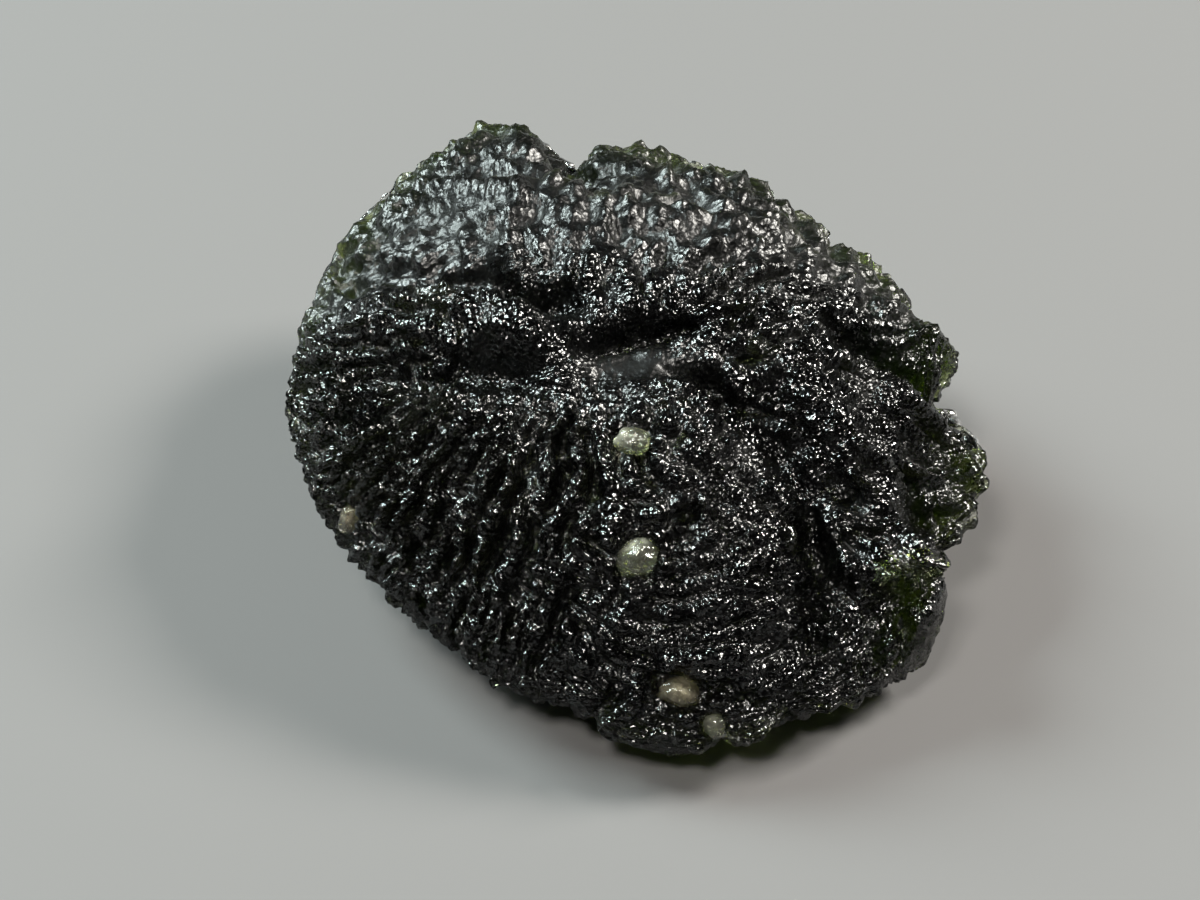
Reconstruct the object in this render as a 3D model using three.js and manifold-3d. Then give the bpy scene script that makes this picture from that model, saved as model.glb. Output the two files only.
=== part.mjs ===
// A moldavite: one etched, bun-shaped piece of dark green natural glass, with five grains of quartz sand
// lodged in pits of its upper side. Millimetres, +Z up. The stone rests on a small flat spot in z = 0 and
// leans towards -Y, so that its dimpled upper side faces the viewer there.
//
// The stone is described on its own leaning plane, the rim plane: u runs to the right, v to the back and w
// up from that plane, and the dimple is at u = v = 0. A place on the stone is given by its direction around
// the dimple and by its slope: 0 at the dimple, 90 degrees on the rim and 180 degrees underneath.
import * as THREE from "three";
import { mergeGeometries, mergeVertices } from "three/addons/utils/BufferGeometryUtils.js";
import Module from "manifold-3d";

// Overall form
const LEAN = THREE.MathUtils.degToRad(14); // of the rim plane
const RIM_HEIGHT = 6.4; // of the rim plane over the lowest point, under the dimple
const TOP_RISE = 7.0; // of the upper side over the rim plane, before the dimple is sunk
const FLAT_CUT = 0.35; // height lost where the underside is worn flat
const PLAN_SHIFT = [0.22, -0.61]; // puts the middle of the stone's box over the origin

// Rim: distance from the dimple, by direction in degrees from +X
const RIM = [
  [10, 14.5], [30, 13.8], [50, 13.9], [68, 14.9], [88, 15.5], [104, 17.1],
  [112, 18.5], [121, 18.0], [135, 17.2], [155, 15.9], [178, 15.0], [205, 13.8],
  [228, 13.4], [250, 14.2], [277, 15.9], [302, 16.0], [318, 15.7], [345, 14.9],
];
// Notches bitten into the rim: direction in degrees, depth, half width in degrees
const NOTCHES = [
  [5.5, 1.9, 6.5], [26, 0.6, 3], [47, 0.7, 3], [61, 1.0, 3], [100, 2.0, 4],
  [258, 0.6, 4], [293, 0.5, 4], [331, 1.7, 6], [345, 0.5, 2],
];
const NOTCH_HUG = 10; // power that keeps the notches close to the rim

// Edge: a thin lip nearly all round, a full, rounded side at the left front, and an underside that is full
// along the whole front
const LIP_POWER = { top: 1.9, under: 1.55 };
const ROUND_POWER = { top: 1.0, under: 0.8 };
const ROUND_SIDE = { top: { direction: 215, halfWidth: 45 }, under: { direction: 262, halfWidth: 65 } };

// Crests and furrows of the upper side: lift (below zero for a furrow), half width, and the path in u and v
const TRACKS = {
  dimple: { lift: -1.25, width: 2.5, path: [[-1.4, -1.5], [1.2, -0.9]] },
  slit: { lift: -0.85, width: 0.5, path: [[-2.6, -0.95], [-0.3, -0.15], [2.2, 0.5]] },
  slitLip: { lift: 0.5, width: 0.9, path: [[-2.6, 0.6], [-0.2, 1.3], [2.2, 2.0]] },
  hollowBesideDimple: { lift: -0.7, width: 0.4, path: [[1.0, -1.9], [3.2, -2.2]] },
  shoulder: { lift: 1.5, width: 1.5, path: [[-12.8, 2.2], [-9.6, 2.3], [-6.5, 0.9], [-4.2, -0.5]] },
  backFurrow: { lift: -1.4, width: 1.1, path: [[-12.5, 6.8], [-8.3, 4.4], [-5.2, 2.6], [-2.8, 1.6]] },
  leftFurrow: { lift: -1.3, width: 0.85, path: [[-9, -0.9], [-6.4, -1.6], [-4.2, -2.3]] },
  frontCrest: { lift: 0.7, width: 1.7, path: [[-0.6, -4.4], [1.2, -5.6], [2.8, -8.6], [3.6, -12.4]] },
  frontBulge: { lift: 0.9, width: 4.0, path: [[-3, -9], [2.5, -10]] },
  rightGroove: { lift: -1.5, width: 0.8, path: [[2.8, -2.6], [5.6, -5], [6.9, -8], [6.8, -12]] },
  rightCrest: { lift: 0.6, width: 1.1, path: [[4.6, -1.0], [8.4, -4.0], [9.6, -7.2]] },
  flankGroove: { lift: -0.8, width: 0.55, path: [[4.4, -2.1], [5.6, -2.9], [6.9, -4.2], [8.3, -6.0]] },
  upperNotchRun: { lift: -2.8, width: 0.85, path: [[8.6, 1.6], [10.6, 1.0], [12.2, 0.2], [14, -0.5]] },
  upperLobe: { lift: 0.9, width: 1.1, path: [[10.2, 4.6], [12.0, 3.6], [13.2, 2.6]] },
  upperNotchCrest: { lift: 0.6, width: 0.8, path: [[7.6, -0.2], [9.8, -0.6], [11.4, -1.3]] },
  lobeGap: { lift: -0.8, width: 0.45, path: [[11.6, -2.5], [13.4, -2.6]] },
  lowerNotchRun: { lift: -1.9, width: 0.6, path: [[10.8, -4.9], [11.5, -6.1], [12.1, -7], [12.8, -8]] },
  ledge: { lift: 1.3, width: 0.7, path: [[9.2, -9.2], [10.6, -8.3], [11.6, -7.2]] },
  recessUnderLedge: { lift: -1.6, width: 0.55, path: [[9.6, -10.5], [10.7, -9.9], [11.4, -9.1]] },
  lowerLobe: { lift: 1.0, width: 0.8, path: [[11.3, -11.2], [12.0, -9.9]] },
  backRidge: { lift: 0.5, width: 2.2, path: [[-6, 9], [0, 8], [6, 6]] },
  backEar: { lift: 0.6, width: 1.8, path: [[-8.5, 13], [-5.5, 14.5]] },
  backGap: { lift: -1.8, width: 1.1, path: [[-2.0, 9.5], [-2.9, 12.5], [-3.6, 16]] },
};
const DABS_PER_WIDTH = 2; // round dabs laid along a track, in each half width
const TRACK_FADE = 0.2; // cosine of the slope below which the tracks run out towards the rim
const CUT_LIMIT = 0.75; // largest share of the depth under the rim plane that a furrow takes away

// Etched ridges, which run out from a short line across the dimple and fork, so that they stay as far apart
const RIDGE_LINE = { from: [-7.0, -1.4], to: [2.5, -0.9] };
const RIDGE_HEIGHT = 0.2;
const RIDGES_AT_RIM = 40;
const RIM_REACH = 15.5; // reach at which that many ridges stand side by side
const RIDGE_START = 1.5; // length over which the ridges rise beside their line
const RIDGE_SWAY = { height: 0.09, waves: 5 }; // sideways sway of the ridges, in radians

// Open gas bubble on the front crest, and the quartz grains: direction and slope in degrees, and sizes
// along the surface, up the surface and through it
const BUBBLE = { direction: 282, slope: 34.5, radius: 0.5 };
const GRAINS = [
  { name: "sand_grain_crest", direction: 266, slope: 23, size: [1.7, 1.1, 1.0], colour: 0xdfe4c8 },
  { name: "sand_grain_front", direction: 269, slope: 41.5, size: [1.6, 1.8, 1.3], colour: 0xd6d2b4 },
  { name: "sand_grain_low", direction: 276, slope: 66, size: [1.7, 1.3, 1.1], colour: 0xcbb99a },
  { name: "sand_grain_lip", direction: 280.5, slope: 77, size: [0.9, 1.2, 0.9], colour: 0xd8d6c6 },
  { name: "sand_grain_left", direction: 206, slope: 79, size: [0.9, 1.5, 0.9], colour: 0xc2ad7e },
];
const GRAIN_GAP = 0.12; // between a grain, half sunk in the surface, and its pit

// Fineness of the faceted stone and of the small round pieces
const CELLS = 46;
const RING_SPREAD = 0.28; // share of the slope that is spaced more closely towards the dimple
const GRAIN_DETAIL = 1;
const MERGE = 1e-4;
const TILT_STEP = 0.5; // degrees to each side of a place, over which the tilt of the surface is taken

const { degToRad, clamp, smoothstep } = THREE.MathUtils;
const dabs = Object.values(TRACKS).flatMap(layDabs);

// A track as a row of round dabs along a smooth curve, each with its share of the track's lift.
function layDabs({ lift, width, path }) {
  const points = path.map(([u, v]) => new THREE.Vector3(u, v, 0));
  const curve = new THREE.CatmullRomCurve3(points, false, "catmullrom");
  const length = curve.getLength();
  const steps = Math.max(2, Math.ceil((DABS_PER_WIDTH * length) / width));
  const share = (lift * length) / steps / (width * Math.sqrt(Math.PI));
  return curve.getSpacedPoints(steps).map((middle) => ({ middle, width, share }));
}

// A bell curve of a direction, 1 at its centre; all three in degrees.
function bell(direction, centre, halfWidth) {
  const off = THREE.MathUtils.euclideanModulo(direction - centre + 180, 360) - 180;
  return Math.exp(-((off / halfWidth) ** 2));
}

// Distance of the rim from the dimple: a smooth closed curve through the values of RIM.
function rimRadius(direction) {
  const count = RIM.length;
  const turn = (angle) => THREE.MathUtils.euclideanModulo(angle, 360);
  const next = RIM.findIndex(([angle]) => angle > turn(direction));
  const k = next < 0 ? count - 1 : next - 1;
  const at = (i) => RIM[(i + count) % count];
  const x = turn(direction - at(k)[0]) / turn(at(k + 1)[0] - at(k)[0]);
  const [before, start, end, after] = [k - 1, k, k + 1, k + 2].map((i) => at(i)[1]);
  const rise = (end - before) / 2;
  const fall = (after - start) / 2;
  const square = 3 * (end - start) - 2 * rise - fall;
  const cube = 2 * (start - end) + rise + fall;
  return start + x * (rise + x * (square + x * cube));
}

function notchDepth(direction) {
  const bites = NOTCHES.map(([centre, depth, halfWidth]) => depth * bell(direction, centre, halfWidth));
  return bites.reduce((sum, bite) => sum + bite);
}

// Height that the crests and furrows add at a place of the upper side.
function trackLift(u, v) {
  let lift = 0;
  for (const { middle, width, share } of dabs) {
    const reach = ((u - middle.x) ** 2 + (v - middle.y) ** 2) / width ** 2;
    lift += share * Math.exp(-reach);
  }
  return lift;
}

// Where a place of the stone lies on the rim plane: the rim's outline drawn in by the sine of the slope.
function planPlace(direction, slope) {
  const across = Math.sin(slope);
  const radius = rimRadius(direction) * across - notchDepth(direction) * across ** NOTCH_HUG;
  return [radius * Math.cos(degToRad(direction)), radius * Math.sin(degToRad(direction))];
}

// A point of the smooth stone. The upper side is a dome over the rim plane with its crests and furrows, and
// the underside is a bowl from the rim's own height down to the ground.
function smoothPoint(direction, slope) {
  const [u, v] = planPlace(direction, slope);
  const up = Math.cos(slope);
  const full = (side) => bell(direction, ROUND_SIDE[side].direction, ROUND_SIDE[side].halfWidth);
  const power = (side) => THREE.MathUtils.lerp(LIP_POWER[side], ROUND_POWER[side], full(side));
  const rimZ = RIM_HEIGHT + v * Math.sin(LEAN);
  const depth = rimZ * Math.abs(up) ** power("under");
  if (up < 0) {
    return new THREE.Vector3(u, v * Math.cos(LEAN), rimZ - depth);
  }
  const carved = TOP_RISE * up ** power("top") + smoothstep(up, 0, TRACK_FADE) * trackLift(u, v);
  const w = Math.max(carved, -CUT_LIMIT * depth);
  return new THREE.Vector3(u, v * Math.cos(LEAN) - w * Math.sin(LEAN), rimZ + w * Math.cos(LEAN));
}

// Height of the etched ridges over the smooth stone. The ridges follow the hyperbolas that share the two
// ends of RIDGE_LINE as foci: the sum of the distances to the ends tells how far out a place is, and their
// difference which ridge it is on. The number of ridges doubles each time the reach does.
function ridgeHeight(u, v) {
  const [fromU, fromV] = RIDGE_LINE.from;
  const [toU, toV] = RIDGE_LINE.to;
  const toFrom = Math.hypot(u - fromU, v - fromV);
  const toTo = Math.hypot(u - toU, v - toV);
  const line = Math.hypot(toU - fromU, toV - fromV);
  const reach = (toFrom + toTo) / 2;
  const side = Math.sign((toU - fromU) * (v - fromV) - (toV - fromV) * (u - fromU));
  const turn = side * Math.acos(clamp((toFrom - toTo) / line, -1, 1));
  const sway = RIDGE_SWAY.height * Math.sin(RIDGE_SWAY.waves * turn + reach);
  const band = Math.log2(reach / RIM_REACH);
  const inner = Math.floor(band);
  const blend = smoothstep(band - inner, 0, 1);
  const wave = (octave) => Math.cos(RIDGES_AT_RIM * 2 ** octave * (turn + sway));
  const start = smoothstep(reach - line / 2, 0, RIDGE_START);
  return RIDGE_HEIGHT * start * ((1 - blend) * wave(inner) + blend * wave(inner + 1));
}

// Direction and slope for a point of a square sheet from -1 to 1: nested squares become rings.
function sheetPlace(x, y) {
  const ring = Math.max(Math.abs(x), Math.abs(y));
  const corner = 45 * (Math.abs(x) >= Math.abs(y) ? y / (x || 1) : 2 - x / y);
  const direction = (Math.abs(x) >= Math.abs(y) ? x < 0 : y < 0) ? corner + 180 : corner;
  return { direction, slope: (Math.PI / 2) * ((1 - RING_SPREAD) * ring + RING_SPREAD * ring ** 2) };
}

// One side of the smooth stone as a bent sheet that also carries the height of its ridges. The sheet is
// mirrored for the underside, which turns its faces down.
function sideSheet(isTop) {
  const sheet = new THREE.PlaneGeometry(2, 2, CELLS, CELLS);
  const position = sheet.getAttribute("position");
  const ridge = new THREE.BufferAttribute(new Float32Array(position.count), 1);
  for (let i = 0; i < position.count; i++) {
    const { direction, slope } = sheetPlace((isTop ? 1 : -1) * position.getX(i), position.getY(i));
    ridge.setX(i, ridgeHeight(...planPlace(direction, slope)));
    position.setXYZ(i, ...smoothPoint(direction, isTop ? slope : Math.PI - slope));
  }
  return sheet.setAttribute("ridge", ridge);
}

// Keeps a geometry's places alone, with one vertex for each place.
function weld(geometry) {
  geometry.deleteAttribute("normal");
  geometry.deleteAttribute("uv");
  return mergeVertices(geometry, MERGE);
}

// The etched stone: both sheets joined at the rim, raised into ridges and worn flat where it rests.
function stoneGeometry() {
  const stone = weld(mergeGeometries([sideSheet(true), sideSheet(false)]));
  stone.computeVertexNormals();
  const position = stone.getAttribute("position");
  const normal = stone.getAttribute("normal");
  const ridge = stone.getAttribute("ridge");
  const point = new THREE.Vector3();
  const out = new THREE.Vector3();
  for (let i = 0; i < position.count; i++) {
    out.fromBufferAttribute(normal, i);
    point.fromBufferAttribute(position, i).addScaledVector(out, ridge.getX(i));
    position.setXYZ(i, ...settle(point));
  }
  return stone;
}

// Sets a point of the leaning stone in the part's frame, on the worn flat.
function settle(point) {
  const height = Math.max(point.z - FLAT_CUT, 0);
  return new THREE.Vector3(point.x + PLAN_SHIFT[0], point.y + PLAN_SHIFT[1], height);
}

// Frame on the smooth surface: x along it, y up it and z out of it.
function surfaceFrame(direction, slope) {
  const at = (d, s) => settle(smoothPoint(d, degToRad(s)));
  const down = at(direction, slope + TILT_STEP).sub(at(direction, slope - TILT_STEP));
  const along = at(direction + TILT_STEP, slope).sub(at(direction - TILT_STEP, slope)).normalize();
  const out = new THREE.Vector3().crossVectors(down, along).normalize();
  const up = new THREE.Vector3().crossVectors(out, along);
  return new THREE.Matrix4().makeBasis(along, up, out).setPosition(at(direction, slope));
}

// A rounded pebble of a given size, grown by a gap all round, at its place on the stone.
function pebble(size, frame, gap = 0) {
  const shape = weld(new THREE.IcosahedronGeometry(1, GRAIN_DETAIL));
  shape.scale(...size.map((side) => side / 2 + gap));
  return shape.applyMatrix4(frame);
}

const wasm = await Module();
wasm.setup();

function toSolid(geometry) {
  const vertProperties = geometry.getAttribute("position").array;
  const triVerts = new Uint32Array(geometry.index.array);
  return new wasm.Manifold(new wasm.Mesh({ numProp: 3, vertProperties, triVerts }));
}

function toGeometry(solid) {
  const { vertProperties, triVerts } = solid.getMesh();
  const geometry = new THREE.BufferGeometry();
  geometry.setAttribute("position", new THREE.BufferAttribute(vertProperties, 3));
  geometry.setIndex(new THREE.BufferAttribute(triVerts, 1));
  return geometry;
}

function addPiece(group, name, geometry, look) {
  const mesh = new THREE.Mesh(geometry, new THREE.MeshStandardMaterial(look));
  mesh.name = name;
  group.add(mesh);
}

const moldavite = new THREE.Group();
let stone = toSolid(stoneGeometry());
const bubbleSize = Array(3).fill(2 * BUBBLE.radius);
stone = stone.subtract(toSolid(pebble(bubbleSize, surfaceFrame(BUBBLE.direction, BUBBLE.slope))));
for (const { name, direction, slope, size, colour } of GRAINS) {
  const frame = surfaceFrame(direction, slope);
  stone = stone.subtract(toSolid(pebble(size, frame, GRAIN_GAP)));
  addPiece(moldavite, name, pebble(size, frame), { color: colour, roughness: 0.3, metalness: 0 });
}
addPiece(moldavite, "moldavite", toGeometry(stone), { color: 0x1c2416, roughness: 0.2, metalness: 0 });

export default moldavite;
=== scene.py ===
# %% [markdown]
# # A moldavite, dressed around its solids
#
# The object is one stone: a bun-shaped piece of dark green natural glass that acids in the ground have etched
# into ridges, with five grains of quartz sand stuck in its pits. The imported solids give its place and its
# large form. This lesson works out the same form again as a fine surface, adds the etching that is too fine
# for the solids, and gives both the glass and the sand a finish that lets light through.

import bpy
import numpy as np
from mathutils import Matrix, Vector


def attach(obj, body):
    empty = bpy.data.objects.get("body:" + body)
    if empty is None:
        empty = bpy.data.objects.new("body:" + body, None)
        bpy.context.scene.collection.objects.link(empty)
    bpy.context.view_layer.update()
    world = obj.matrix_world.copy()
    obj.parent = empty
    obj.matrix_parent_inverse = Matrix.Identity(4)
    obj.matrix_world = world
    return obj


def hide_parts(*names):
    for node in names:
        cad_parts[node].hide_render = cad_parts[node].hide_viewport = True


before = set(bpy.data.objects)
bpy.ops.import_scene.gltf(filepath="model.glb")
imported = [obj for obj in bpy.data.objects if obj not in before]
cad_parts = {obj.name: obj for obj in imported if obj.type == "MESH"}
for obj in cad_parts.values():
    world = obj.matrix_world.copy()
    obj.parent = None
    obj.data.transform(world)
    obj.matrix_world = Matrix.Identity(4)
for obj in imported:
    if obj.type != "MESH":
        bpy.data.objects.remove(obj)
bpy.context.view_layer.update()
MM = 0.001
print("solids:", sorted(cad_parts))

# %% [markdown]
# ## The camera
#
# The view comes first, because every later step is judged in it. The stone is seen from the front at 40
# degrees over the table. The aim and the lens come from two facts: where the middle of the picture meets the
# stone's rim plane, and how many millimetres the picture's width spans there. Depth of field stays off, so
# other views stay sharp too.

# %% Camera
VIEW_ELEVATION = np.radians(40)
VIEW_DISTANCE = 115 * MM
VIEW_WIDTH = 51.2 * MM
VIEW_AIM = Vector((-1.43, -1.97, 5.71)) * MM
SENSOR = 36.0

camera = bpy.data.objects.new("camera", bpy.data.cameras.new("camera"))
view_back = Vector((0, -np.cos(VIEW_ELEVATION), np.sin(VIEW_ELEVATION)))
camera.location = VIEW_AIM + view_back * VIEW_DISTANCE
camera.rotation_euler = (np.pi / 2 - VIEW_ELEVATION, 0, 0)
camera.data.sensor_width = SENSOR
camera.data.lens = SENSOR * VIEW_DISTANCE / VIEW_WIDTH
camera.data.clip_start = 1 * MM
bpy.context.scene.collection.objects.link(camera)
bpy.context.scene.camera = camera
print("lens:", round(camera.data.lens, 1), "mm")

# %% [markdown]
# ## Random relief from waves and cups
#
# Etched glass is rough at every scale, so the surface needs random height fields. A sum of cosine waves with
# random directions gives one with no grid in it: all waves have about the same length, so the bumps have one
# size. Round cups that meet in sharp rims are the other field: acid that eats outwards from scattered points
# leaves them. Each field has a seed of its own, so every run makes the same stone.

# %% Random waves and cups
SEEDS = {
    "wander": 10, "ridges": 11, "rows": 12, "clumps": 13, "beads": 14, "swell": 15, "teeth": 16, "cups": 17,
    "flank": 18, "cross": 19, "tooth patches": 20, "grains": 40,
}
SCATTER_MIX = np.array([[127.1, 269.5, 419.2], [311.7, 183.3, 371.9], [74.7, 246.1, 119.3]])
SCATTER_SCALE = 43758.5453


def random_waves(seed, places, length, spread=0.35, count=40):
    """Sum of count cosines over places (points x axes), scaled to a mean square of 1. Each wave runs in a
    random direction, and its number per millimetre is within the given spread of one per length."""
    rng = np.random.default_rng(seed)
    direction = rng.normal(size=(count, places.shape[1]))
    direction /= np.linalg.norm(direction, axis=1, keepdims=True)
    number = 2 * np.pi * direction / length * rng.uniform(1 - spread, 1 + spread, (count, 1))
    phase = rng.uniform(0, 2 * np.pi, count)
    total = np.zeros(len(places))
    for wave, start in zip(number, phase):
        total += np.cos(places @ wave + start)
    return total * np.sqrt(2 / count)


def scattered(cell, seed):
    """Three numbers from 0 to 1 for each cube of a lattice, the same at every call: fractions of large
    sines."""
    return np.mod(np.sin(cell @ SCATTER_MIX + seed) * SCATTER_SCALE, 1)


def etch_cups(seed, places, size):
    """Squared distance to the nearest of many scattered points, one in each cube of the given size: round
    cups with sharp rims where two of them meet. The result is about 0 at a cup's bottom and 0.5 at its
    rim."""
    cell = np.floor(places / size)
    inside = places / size - cell
    nearest = np.full(len(places), np.inf)
    for offset in np.ndindex(3, 3, 3):
        neighbour = np.array(offset) - 1
        gap = inside - neighbour - scattered(cell + neighbour, seed)
        nearest = np.minimum(nearest, np.sum(gap**2, axis=1))
    return nearest


sample = np.random.default_rng(0).uniform(0, 9, (4000, 3))
print("waves, mean square:", np.mean(random_waves(1, sample, 1.0) ** 2).round(2))
print("cups, mean:", etch_cups(1, sample, 1.0).mean().round(2))

# %% [markdown]
# ## A grid that wraps the stone
#
# A globe's grid crowds at its poles. Here two square grids are bent instead, one over the upper side and one
# under it, and sewn together along their edges at the rim: nested squares of the grid become rings around the
# dimple. The cells then have nearly one size all over, which a fine relief needs.

# %% Grid of nested squares
HALF_GRID = 110
RING_SPREAD = 0.28


def nested_squares(half):
    """Direction in degrees and slope in radians of each point of a square grid. A square ring of the grid
    becomes a ring around the pole: the point's share of the ring's outline is its direction, the ring's
    number its slope."""
    x, y = np.meshgrid(np.arange(-half, half + 1.0), np.arange(-half, half + 1.0))
    ring = np.maximum(np.abs(x), np.abs(y))
    wide = np.abs(x) >= np.abs(y)
    part = np.where(wide, y / np.where(x == 0, 1, x), 2 - x / np.where(y == 0, 1, y))
    turned = np.where(wide, x < 0, y < 0)
    direction = 45 * part + 180 * turned
    share = ring / half
    slope = np.pi / 2 * ((1 - RING_SPREAD) * share + RING_SPREAD * share**2)
    return direction, slope


def grid_quads(number):
    """Four corner numbers of each cell of a numbered grid, in the order that faces the viewer of its upper
    side."""
    return np.stack([number[:-1, :-1], number[:-1, 1:], number[1:, 1:], number[1:, :-1]], -1).reshape(-1, 4)


def wrapped_grid(half):
    """Direction and slope of each point of a closed grid, and the four corner numbers of its cells. The
    underside is the upper side mirrored, with points of its own except on the rim, where both sides share
    them."""
    top_direction, top_slope = nested_squares(half)
    top_number = np.arange(top_slope.size).reshape(top_slope.shape)
    inner = top_slope < np.pi / 2 - 1e-9
    under_number = top_number.copy()
    under_number[inner] = top_slope.size + np.arange(inner.sum())
    direction = np.concatenate([top_direction.ravel(), top_direction[inner]])
    slope = np.concatenate([top_slope.ravel(), np.pi - top_slope[inner]])
    return direction, slope, np.concatenate([grid_quads(top_number), grid_quads(under_number)[:, ::-1]])


direction, slope, quads = wrapped_grid(HALF_GRID)
print("stone grid:", len(direction), "points,", len(quads), "cells")

# %% [markdown]
# ## The outline
#
# Seen from above the stone is nearly round, with an ear at the back and notches bitten out of its edge. The
# outline is given by a handful of distances from the dimple, joined by a smooth curve. A notch is a bell curve
# of the direction that takes away from the distance, and only close to the edge, so the dome stays whole.

# %% Outline and notches
RIM = np.array([
    [10, 14.5], [30, 13.8], [50, 13.9], [68, 14.9], [88, 15.5], [104, 17.1], [112, 18.5], [121, 18.0],
    [135, 17.2], [155, 15.9], [178, 15.0], [205, 13.8], [228, 13.4], [250, 14.2], [277, 15.9], [302, 16.0],
    [318, 15.7], [345, 14.9],
])
NOTCHES = [
    (5.5, 1.9, 6.5), (26, 0.6, 3), (47, 0.7, 3), (61, 1.0, 3), (100, 2.0, 4), (258, 0.6, 4), (293, 0.5, 4),
    (331, 1.7, 6), (345, 0.5, 2),
]
NOTCH_HUG = 10


def bell(direction, centre, half_width):
    """Bell curve of a direction in degrees, 1 at its centre."""
    off = (direction - centre + 180) % 360 - 180
    return np.exp(-((off / half_width) ** 2))


def rim_radius(direction):
    """Distance of the rim from the dimple: a cubic through the values of RIM, with the slope at each value
    taken from its neighbours, so that it closes smoothly."""
    angle, radius = RIM.T
    k = (np.searchsorted(angle, direction % 360, side="right") - 1) % len(angle)
    before, start, end, after = (np.take(radius, k + step, mode="wrap") for step in (-1, 0, 1, 2))
    x = ((direction - angle[k]) % 360) / ((np.take(angle, k + 1, mode="wrap") - angle[k]) % 360)
    rise, fall = (end - before) / 2, (after - start) / 2
    bend = 3 * (end - start) - 2 * rise - fall
    return start + x * (rise + x * (bend + x * (2 * (start - end) + rise + fall)))


def plan_place(direction, slope):
    """u and v on the rim plane: the rim's outline drawn in by the sine of the slope, less the notches near
    it."""
    across = np.sin(slope)
    notch = sum(depth * bell(direction, centre, half) for centre, depth, half in NOTCHES)
    radius = rim_radius(direction) * across - notch * across**NOTCH_HUG
    return radius * np.cos(np.radians(direction)), radius * np.sin(np.radians(direction))


rim_u, rim_v = plan_place(np.arange(360.0), np.full(360, np.pi / 2))
print("outline:", round(np.ptp(rim_u), 1), "x", round(np.ptp(rim_v), 1), "mm on the rim plane")

# %% [markdown]
# ## Crests and furrows
#
# The upper side has a few large forms: the dimple with its dark slit, a shoulder crest on the left with a
# furrow on each side, the front crest, and grooves that lead into the notches. Each is drawn as a brush would
# do it: a row of round dabs along a smooth curve through two to four points, which raises or sinks the
# surface. A track has a height and a width in millimetres, and its points on the rim plane.

# %% Tracks
TRACKS = {
    "dimple": (-1.25, 2.5, [(-1.4, -1.5), (1.2, -0.9)]),
    "slit": (-0.75, 0.5, [(-2.6, -0.95), (-0.3, -0.15), (2.2, 0.5)]),
    "slit lip": (0.5, 0.9, [(-2.6, 0.6), (-0.2, 1.3), (2.2, 2.0)]),
    "hollow beside dimple": (-0.7, 0.4, [(1.0, -1.9), (3.2, -2.2)]),
    "shoulder": (1.5, 1.5, [(-12.8, 2.2), (-9.6, 2.3), (-6.5, 0.9), (-4.2, -0.5)]),
    "furrow behind shoulder": (-1.4, 1.1, [(-12.5, 6.8), (-8.3, 4.4), (-5.2, 2.6), (-2.8, 1.6)]),
    "furrow before shoulder": (-1.0, 0.8, [(-9, -0.9), (-6.4, -1.6), (-4.2, -2.3)]),
    "front crest": (0.7, 1.7, [(-0.6, -4.4), (1.2, -5.6), (2.8, -8.6), (3.6, -12.4)]),
    "front bulge": (0.9, 4.0, [(-3, -9), (2.5, -10)]),
    "right groove": (-1.5, 0.8, [(2.8, -2.6), (5.6, -5), (6.9, -8), (6.8, -12)]),
    "right crest": (0.6, 1.1, [(4.6, -1.0), (8.4, -4.0), (9.6, -7.2)]),
    "flank groove": (-0.8, 0.55, [(4.4, -2.1), (5.6, -2.9), (6.9, -4.2), (8.3, -6.0)]),
    "upper notch run": (-2.8, 0.85, [(8.6, 1.6), (10.6, 1.0), (12.2, 0.2), (14, -0.5)]),
    "upper lobe": (0.9, 1.1, [(10.2, 4.6), (12.0, 3.6), (13.2, 2.6)]),
    "upper notch crest": (0.6, 0.8, [(7.6, -0.2), (9.8, -0.6), (11.4, -1.3)]),
    "lobe gap": (-0.8, 0.45, [(11.6, -2.5), (13.4, -2.6)]),
    "lower notch run": (-1.9, 0.6, [(10.8, -4.9), (11.5, -6.1), (12.1, -7), (12.8, -8)]),
    "ledge": (1.3, 0.7, [(9.2, -9.2), (10.6, -8.3), (11.6, -7.2)]),
    "recess under ledge": (-0.8, 0.55, [(9.6, -10.5), (10.7, -9.9), (11.4, -9.1)]),
    "lower lobe": (1.0, 0.8, [(11.3, -11.2), (12.0, -9.9)]),
    "back ridge": (0.5, 2.2, [(-6, 9), (0, 8), (6, 6)]),
    "back ear": (0.6, 1.8, [(-8.5, 13), (-5.5, 14.5)]),
    "back gap": (-1.8, 1.1, [(-2.0, 9.5), (-2.9, 12.5), (-3.6, 16)]),
}
DABS_PER_WIDTH = 2
LENGTH_SAMPLES = 50


def smooth_path(points, count):
    """count points along the smooth curve that goes through the given points (a Catmull-Rom curve)."""
    p = np.array(points, float)
    p = np.concatenate([2 * p[:1] - p[1:2], p, 2 * p[-1:] - p[-2:-1]])
    s = np.linspace(0, len(points) - 1, count)
    k = np.minimum(s.astype(int), len(points) - 2)
    x = (s - k)[:, None]
    a, b, c, d = p[k], p[k + 1], p[k + 2], p[k + 3]
    return b + x * ((c - a) / 2 + x * (a - 2.5 * b + 2 * c - d / 2 + x * (1.5 * b - a / 2 - 1.5 * c + d / 2)))


def dabs(u, v, height, width, points):
    """One track at the places u, v: each dab is a bell curve of the distance, and all dabs together reach the
    height along the middle line."""
    length = np.hypot(*np.diff(smooth_path(points, LENGTH_SAMPLES), axis=0).T).sum()
    steps = max(2, int(np.ceil(DABS_PER_WIDTH * length / width)))
    share = height * length / steps / (width * np.sqrt(np.pi))
    middles = smooth_path(points, steps + 1)
    return sum(share * np.exp(-((u - x) ** 2 + (v - y) ** 2) / width**2) for x, y in middles)


heights = [height for height, _, _ in TRACKS.values()]
print(len(TRACKS), "tracks, from", min(heights), "to", max(heights), "mm")

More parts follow.
